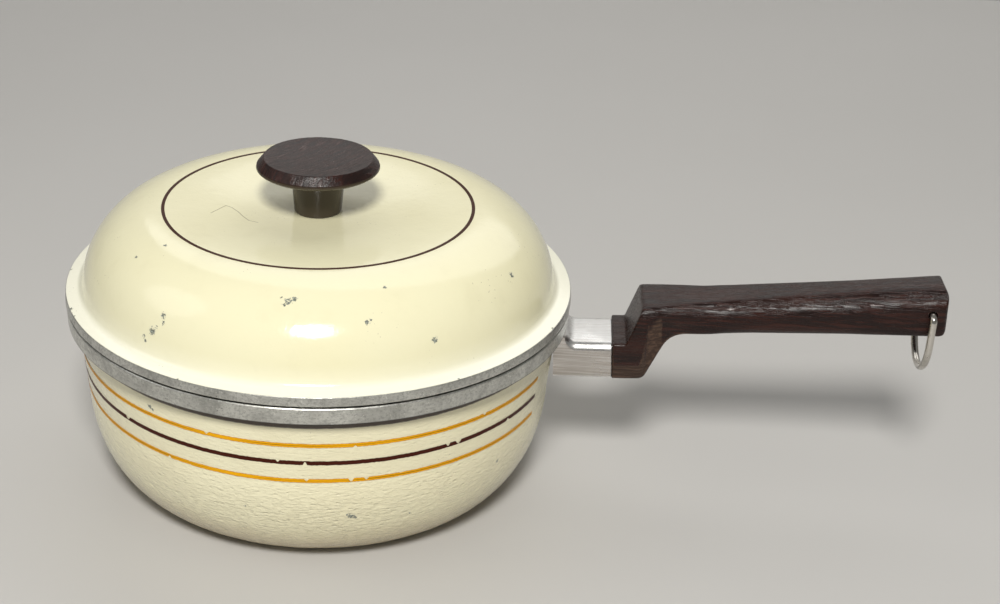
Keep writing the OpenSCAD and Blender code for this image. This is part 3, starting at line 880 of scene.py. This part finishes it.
def stripe_band(middle, width, gap, nicks, seed):
    """A painted band round the bowl that stops short of the handle, chipped thin at its nicks."""
    heights = np.linspace(middle - width / 2, middle + width / 2, 6)
    outline = band_on([(bowl_radius(h), h) for h in heights], 0.1, -0.06)
    points, faces = turned(outline, 1440, start=gap, end=360 - gap)
    p = np.array(points)
    turn = np.degrees(np.arctan2(p[:, 1], p[:, 0]))
    around = np.stack([turn, turn * 0, turn * 0 + seed], 1)
    wobble = noise(around, 0.35, seed) * 0.09 + noise(around, 1.7, seed + 3) * 0.04
    squeeze = 1 - np.clip(noise(around, 0.6, seed + 5) - 0.8, 0, 1) * 1.5
    for place, half, depth, side in nicks:
        bite = depth * np.clip(1 - np.abs(turn - place + 0.25 * wobble) / half, 0, 1) ** 0.5
        squeeze = squeeze - bite
        wobble = wobble - side * bite * width / 2
    up = p[:, 2] / MM - middle
    p[:, 2] = (middle + up * np.clip(squeeze, 0.06, 1) + wobble) * MM
    return p, faces


def build_stripes():
    """The three painted bands, each at the height of its CAD band."""
    for name, node, width, slot, face, edge, nicks, seed in STRIPES:
        low, high = node_box(node)
        middle = (low.z + high.z) / 2
        points, faces = stripe_band(middle, width, STRIPE_GAP, nicks, seed)
        core = 0.8 if face == ORANGE else 0.0
        material = paint(name + "_paint", face, edge, middle, width, core)
        finish_mesh(name, points, faces, "pan", [node], material)


# Degrees from the handle to each end of a stripe
STRIPE_GAP = 20.0
ORANGE = (0.90, 0.43, 0.004)
ORANGE_EDGE = (0.52, 0.19, 0.004)
BROWN = (0.058, 0.0095, 0.0035)
BROWN_EDGE = (0.085, 0.026, 0.012)
# Nicks: turn in degrees, half length in degrees, depth as a share of the width, and the side bitten
UPPER_NICKS = [(-107.1, 0.5, 0.6, 1), (-74, 0.35, 0.4, -1), (-42, 0.4, 0.5, 1), (64, 0.5, 0.6, 1),
               (131, 0.6, 0.7, -1)]
MIDDLE_NICKS = [(-131, 0.7, 0.8, 1), (-90.9, 0.35, 0.5, 1), (-84.9, 0.45, 0.75, -1), (-51.9, 0.5, 0.7, 1),
                (-49.1, 0.7, 0.92, 1), (-33, 0.4, 0.6, -1), (49, 0.5, 0.7, -1), (112, 0.6, 0.8, 1)]
LOWER_NICKS = [(-84.6, 0.4, 0.6, 1), (-74.7, 0.55, 0.92, 1), (-71.3, 0.5, 0.7, 1), (-118, 0.4, 0.5, -1),
               (78, 0.5, 0.7, 1), (150, 0.5, 0.6, -1)]
STRIPES = [
    ("pan_stripe_upper", "stripe_upper", 2.0, "orange_paint", ORANGE, ORANGE_EDGE, UPPER_NICKS, 91),
    ("pan_stripe_middle", "stripe_middle", 2.1, "brown_paint", BROWN, BROWN_EDGE, MIDDLE_NICKS, 97),
    ("pan_stripe_lower", "stripe_lower", 2.0, "orange_paint", ORANGE, ORANGE_EDGE, LOWER_NICKS, 103),
]

# ---------------- bracket


FOOT_RISE = 6.7


def bar_ring(u, width, low, high, corner, per_corner=8):
    """One closed ring of a bar with rounded corners, at u along the handle."""
    ring = []
    half = width / 2
    corners = [(half - corner, low + corner, -90), (half - corner, high - corner, 0),
               (-half + corner, high - corner, 90), (-half + corner, low + corner, 180)]
    for y, v, start in corners:
        ring += [(u, yy, vv) for yy, vv in arc(y, v, corner, corner, start, start + 90, per_corner)]
    return ring


def bracket_ring(u, end):
    """The bracket's section at u: a rounded bar that sweeps up to the rim near the pan."""
    rise = FOOT_RISE if u <= 2.2 else 0.0
    if 2.2 < u < 8.2:
        sweep = math.sqrt(max(0.0, 1 - ((8.2 - u) / 6) ** 2))
        rise = max(0.0, FOOT_RISE - (FOOT_RISE + 0.2) * sweep + 0.1)
    back = max(0.0, (u - (end - 0.7)) / 0.7)
    shrink = 0.7 * (1 - math.sqrt(max(0.0, 1 - back * back)))
    return bar_ring(u, 31 - 2 * shrink, -9.8 + shrink, 9.3 + rise - shrink, 4.4, 12)


def build_bracket():
    """The polished sleeve between the pan and the handle."""
    end = (BRACKET_HIGH.x - HANDLE_X) / math.cos(HANDLE_TILT) - 0.15
    stations = np.concatenate([np.linspace(-3, 2.2, 6), np.linspace(2.2, 8.2, 26),
                               np.linspace(8.2, end - 1.2, 16), np.linspace(end - 1.2, end, 7)])
    stations = sorted(set(np.round(stations, 4)))
    points, faces = skinned([bracket_ring(u, end) for u in stations])
    points = from_handle(points)
    finish_mesh("handle_bracket_cast", points, faces, "pan", ["handle_bracket"], POLISHED,
                55)


# ---------------- handle

# Outlines from the side, and along the handle the radii of its rounds and half its width
TOP_LINE = fillet([(24.5, 9.8), (30.8, 9.8), (37.9, 28.0), (64, 29.4), (171.6, 38.45)],
                  [0, 1.3, 2.6, 30, 0], 10)
TOP_LINE += arc(171.6, 35.7, 2.8, 2.75, 86, 8, 10)
BOTTOM_LINE = fillet([(24.5, -10.4), (39.2, -10.4), (51.2, 14.2), (120, 15.3), (170.8, 15.9)],
                     [0, 4.5, 13, 30, 0], 12)
BOTTOM_LINE += arc(170.8, 19.5, 3.6, 3.6, -86, -12, 14)
UPPER_ROUND = [(12, 26), (34, 24), (38, 18.9), (52, 17.2), (67, 15.5), (82, 15.4), (112, 15.4), (134, 15.6),
               (157, 16.2), (178, 16.8)]
LOWER_ROUND = [(12, 60), (38, 46), (48, 30), (56, 22), (64, 18.5), (76, 16.8), (88, 16.3), (130, 16.6),
               (178, 18.5)]
HALF_WIDTH = [(24.5, 16.5), (40, 16.5), (52, 15.6), (66, 14.4), (90, 13.8), (130, 13.8), (172, 14.1)]
FAR = 1e3
EDGE_POWER = 26.0


def along(table, u):
    """A table's value at u, straight between its rows."""
    xs, ys = zip(*table)
    return float(np.interp(u, xs, ys))


def reach_round(centre, radius, side, middle, dv):
    """How far each ray from the middle goes to a round about the height centre, on one side of it."""
    h = middle - centre
    b = h * dv
    root = b * b - (h * h - radius * radius)
    hit = np.where(root > 0, -b + np.sqrt(np.maximum(root, 0)), FAR)
    there = side * (middle + hit * dv - centre) > 0
    return np.where(there & (root > 0), hit, FAR)


def reach_bevel(half, low, u, middle, dy, dv):
    """How far each ray goes to the flank that leans under the neck block and fades out along the grip."""
    slope = (along(BOTTOM_LINE, u + 0.6) - along(BOTTOM_LINE, u - 0.6)) / 1.2
    height = 11.4 * math.sqrt(1 + slope * slope)
    fade = 1 - min(1.0, max(0.0, (u - 46) / 26))
    if fade <= 0.01:
        return np.full(len(dy), FAR)
    ny, nv = height, -3.7 * fade
    size = math.hypot(ny, nv)
    ny, nv = ny / size, nv / size
    gap = (half * ny + (low + height) * nv) - middle * nv
    toward = np.abs(dy) * ny + dv * nv
    return np.where(toward > 1e-3, gap / np.maximum(toward, 1e-3), FAR)


def handle_ring(u, count):
    """One ring of the handle: its flats and rounds met with slightly softened edges."""
    top, low = along(TOP_LINE, u), along(BOTTOM_LINE, u)
    half = along(HALF_WIDTH, u)
    if u > 171.9:
        half = min(half, 11.6 + 2.5 * math.sqrt(max(0.0, 1 - ((u - 171.9) / 2.5) ** 2)))
    middle = (top + low) / 2
    angles = 2 * math.pi * (np.arange(count) + 0.5) / count
    dy, dv = np.cos(angles), np.sin(angles)
    reach = [np.where(dv > 1e-3, (top - middle) / np.maximum(dv, 1e-3), FAR),
             np.where(dv < -1e-3, (middle - low) / np.maximum(-dv, 1e-3), FAR),
             half / np.maximum(np.abs(dy), 1e-3),
             reach_round(18 + 0.055 * (u - 82), along(UPPER_ROUND, u), 1, middle, dv),
             reach_round(26.6 + 0.021 * (u - 82), along(LOWER_ROUND, u), -1, middle, dv),
             reach_bevel(half, low, u, middle, dy, dv)]
    total = sum((1 / r) ** EDGE_POWER for r in reach)
    out = total ** (-1 / EDGE_POWER)
    return dy * out, middle + dv * out


def handle_rings(count):
    """The handle's rings from the bracket to the end, with a bowed cap."""
    stations = np.concatenate([np.linspace(24.55, 25.2, 5), np.linspace(25.6, 62, 120),
                               np.linspace(62.5, 168.5, 220), np.linspace(168.8, 174.35, 36)])
    rings = []
    for u in stations:
        y, v = handle_ring(u, count)
        lead = max(0.0, (25.2 - u) / 0.65)
        if lead > 0:
            middle = (v.max() + v.min()) / 2
            y = y * (1 - 0.045 * lead ** 2)
            v = middle + (v - middle) * (1 - 0.06 * lead ** 2)
        rings.append(np.stack([np.full(count, u), y, v], 1))
    last = rings[-1]
    centre = last.mean(0)
    for share, bow in ((0.93, 0.10), (0.8, 0.25), (0.6, 0.38), (0.35, 0.46), (0.12, 0.5)):
        ring = centre + (last - centre) * share
        ring[:, 0] = last[0, 0] + bow * 0.35
        rings.append(ring)
    return rings


def grained(rings):
    """The rings with a wood grain pressed into them."""
    cloud = np.concatenate(rings)
    flat = np.concatenate([r - np.array((0, 0, (r[:, 2].max() + r[:, 2].min()) / 2)) for r in rings])
    size = np.maximum(np.hypot(flat[:, 1], flat[:, 2]), 1e-3)
    out = np.stack([np.zeros(len(flat)), flat[:, 1] / size, flat[:, 2] / size], 1)
    fibres = fractal(cloud * np.array((0.045, 1, 1)), 1.25, 3, 111)
    broad = fractal(cloud * np.array((0.06, 1, 1)), 4.5, 2, 117)
    depth = np.clip(np.abs(fibres) * 0.16 + np.clip(broad, 0, 1) * 0.06, 0, 0.2)
    return (cloud - out * depth[:, None]).reshape(len(rings), -1, 3)


def build_handle():
    """The moulded neck block and grip, with the ring's hole and the screw's."""
    shaped = grained(handle_rings(150))
    points, faces = skinned([[tuple(q) for q in ring] for ring in shaped])
    points = from_handle(points)
    obj = finish_mesh("handle_grip", points, faces, "pan", ["handle"], HANDLE_GRAIN, 50)
    drill(obj, (RING_HOLE[0], 0, RING_HOLE[1]), "Y", 2.1, 40)
    drill(obj, (34.5 + 15, 0, 0), "X", 5.2, 15)
    drill(obj, (28, 0, 0), "X", 2.8, 9)
    obj.data.set_sharp_from_angle(angle=math.radians(50))


def drill(obj, centre, way, radius, half_length):
    """Cuts a round hole, placed in the handle's own axes."""
    tool = bpy.data.meshes.new("drill")
    built = bmesh.new()
    bmesh.ops.create_cone(built, cap_ends=True, segments=48, radius1=radius, radius2=radius,
                          depth=2 * half_length)
    turn = Matrix.Rotation(math.pi / 2, 4, "X" if way == "Y" else "Y")
    built.transform(handle_matrix() @ Matrix.Translation(centre) @ turn)
    built.to_mesh(tool)
    built.free()
    cutter = new_object("drill", tool)
    cut = obj.modifiers.new("hole", "BOOLEAN")
    cut.operation = "DIFFERENCE"
    cut.solver = "EXACT"
    cut.object = cutter
    bpy.context.view_layer.objects.active = obj
    with bpy.context.temp_override(object=obj, active_object=obj, selected_objects=[obj]):
        bpy.ops.object.modifier_apply(modifier=cut.name)
    bpy.data.objects.remove(cutter)


# ---------------- hanging ring


def build_ring():
    """Wire bent into a round-bottomed loop, through the cross hole."""
    wire = 1.65
    half = RING_HIGH.y - wire
    axis = Vector(((RING_LOW.x + RING_HIGH.x) / 2, 0, RING_HIGH.z - wire))
    drop = axis.z - RING_LOW.z - wire
    bend = 3.0
    path = [(y, 0.0) for y in np.linspace(-half + bend, half - bend, 24)]
    path += arc(half - bend, -bend, bend, bend, 90, 0, 10)[1:]
    path += [(half, z) for z in np.linspace(-bend, -drop + half, 10)[1:]]
    path += arc(0, -drop + half, half, half, 0, -180, 60)[1:]
    path += [(-half, z) for z in np.linspace(-drop + half, -bend, 10)[1:]]
    path += arc(-half + bend, -bend, bend, bend, 180, 90, 10)[1:-1]
    route = np.array(path, float)
    way = np.roll(route, -1, 0) - np.roll(route, 1, 0)
    way /= np.linalg.norm(way, axis=1, keepdims=True)
    out = np.stack([way[:, 1], -way[:, 0]], 1)
    sides = 24
    rings = []
    for (y, z), (oy, oz) in zip(route, out):
        ring = []
        for k in range(sides):
            a = 2 * math.pi * k / sides
            side = wire * math.cos(a)
            ring.append(axis + Vector((wire * math.sin(a), y + oy * side, z + oz * side)))
        rings.append(ring)
    points, faces = skinned(rings, closed=True)
    points = [q * MM for q in points]
    finish_mesh("hanging_ring_wire", points, faces, "ring", ["hanging_ring"], NICKEL)


# ---------------- CAD pieces that stay


def dress_cad_nodes():
    """Materials for the hidden screws, washers and insert, which stay as the CAD made them."""
    for node, material in (("handle_screw", STEEL), ("handle_washer", STEEL), ("knob_screw", STEEL),
                           ("knob_washer", STEEL), ("knob_insert", BRASS)):
        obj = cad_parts[node]
        obj.data.materials.clear()
        obj.data.materials.append(material)


# ---------------- floor, light and camera


def build_floor():
    """A plain pale floor that curves up into a wall far behind."""
    size = 3.0
    mesh = bpy.data.meshes.new("floor")
    curve = [(-size, 0.0), (0.9, 0.0)]
    curve += [(0.9 + 0.5 * math.sin(a), 0.5 - 0.5 * math.cos(a)) for a in np.linspace(0, math.pi / 2, 16)]
    curve += [(1.4, 2.6)]
    verts = [(x, y, z) for x in (-size, size) for y, z in curve]
    n = len(curve)
    mesh.from_pydata(verts, [], [(k, k + 1, n + k + 1, n + k) for k in range(n - 1)])
    mesh.shade_smooth()
    floor = new_object("floor", mesh)
    net = Net("pale_floor")
    tone = net.noise(3, 2, 0.5)
    mesh.materials.append(net.finish(net.blend(tone, (0.53, 0.52, 0.505), (0.57, 0.56, 0.545)), 0.6))


def area_light(name, place, aim, size, power, color):
    data = bpy.data.lights.new(name, "AREA")
    data.shape = "DISK"
    data.size = size
    data.energy = power
    data.color = color
    light = new_object(name, data)
    light.location = place
    light.visible_camera = False
    light.rotation_mode = "QUATERNION"
    light.rotation_quaternion = (Vector(aim) - Vector(place)).to_track_quat("-Z", "Y")


def build_lights():
    """One soft lamp high in front, weak fill from the left, a broad lamp behind, and a pale room."""
    area_light("key", (0.09, -1.12, 1.30), (0, 0, 0.08), 0.38, 24, (1.0, 0.98, 0.94))
    area_light("left", (-1.5, -0.3, 1.3), (0, 0, 0.08), 1.0, 2.5, (1.0, 0.99, 0.97))
    area_light("back", (0.2, 1.15, 1.05), (0.1, 0, 0.1), 1.9, 9, (1.0, 0.995, 0.98))
    world = bpy.data.worlds.new("studio")
    bpy.context.scene.world = world
    world.use_nodes = True
    world.node_tree.nodes["Background"].inputs[0].default_value = (0.94, 0.94, 0.91, 1)
    world.node_tree.nodes["Background"].inputs[1].default_value = 0.2
    bpy.context.scene.view_settings.view_transform = "Standard"


def build_camera():
    """Stands in front and above, 8 degrees round from the handle's square-on view."""
    turn = math.radians(8)
    away, height, pitch = 0.7456, 0.4475, math.radians(26.02)
    data = bpy.data.cameras.new("camera")
    data.sensor_width = 36
    data.lens = 61.2
    data.shift_x = 0.184
    camera = new_object("camera", data)
    camera.location = (away * math.sin(turn) - 0.001, -away * math.cos(turn), height)
    camera.rotation_euler = (math.pi / 2 - pitch, 0, turn)
    bpy.context.scene.camera = camera


build_camera()
build_lights()
build_floor()
build_lid_coat()
build_lid_edge()
build_lid_inside()
build_lid_line()
build_knob()
build_pan_coat()
build_rim_band()
build_vessel()
build_boss()
build_stripes()
build_bracket()
build_handle()
build_ring()
dress_cad_nodes()

bpy.context.view_layer.update()
